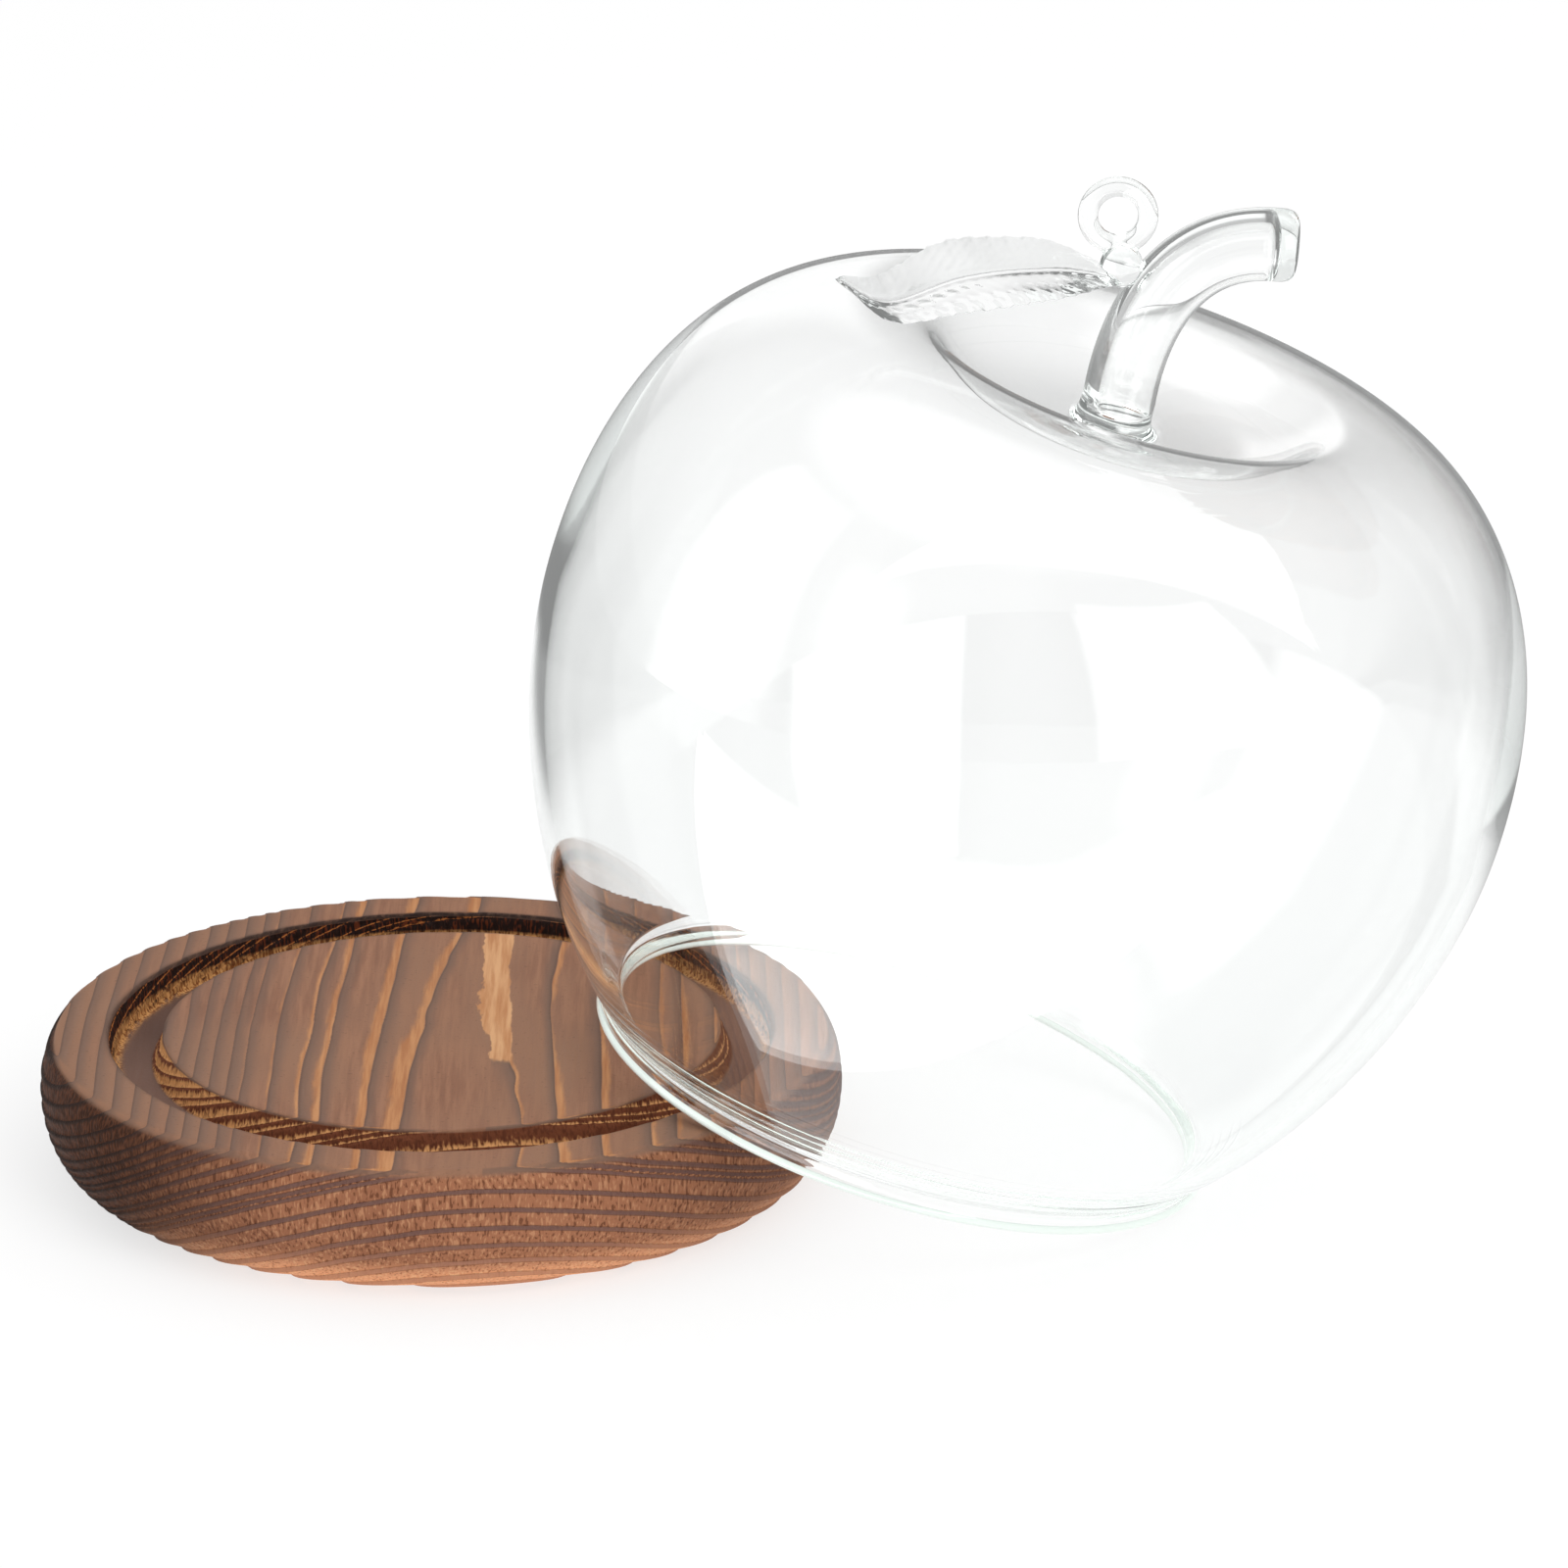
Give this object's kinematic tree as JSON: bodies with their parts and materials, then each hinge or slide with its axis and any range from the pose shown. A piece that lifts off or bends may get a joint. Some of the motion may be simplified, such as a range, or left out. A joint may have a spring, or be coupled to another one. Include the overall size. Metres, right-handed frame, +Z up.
{
  "type": "bell jar dome",
  "caption": "Apple-shaped clear glass bell jar with a bent stem, leaf and hanging ring, leaning on its round grooved base of charred wood.",
  "frame": {"origin": "centre of the base's underside", "axes": "+Z up out of the base, +X from the base towards the leaning jar"},
  "size_m": [0.2381, 0.1576, 0.1677],
  "materials": {
    "charred_wood": "charred and wire-brushed softwood, matt",
    "clear_glass": "clear blown glass, fire-polished"
  },
  "bodies": {
    "base": {"wood_base": "charred_wood"},
    "jar": {"glass_dome": "clear_glass", "stem_weld": "clear_glass", "glass_stem": "clear_glass", "leaf_bead": "clear_glass", "glass_leaf": "clear_glass", "hanging_ring": "clear_glass"}
  },
  "joints": [
    {"name": "jar_lift", "type": "slide", "parent": "base", "child": "jar", "axis": [0, 0, 1], "range_m": [0, 0.12]}
  ]
}
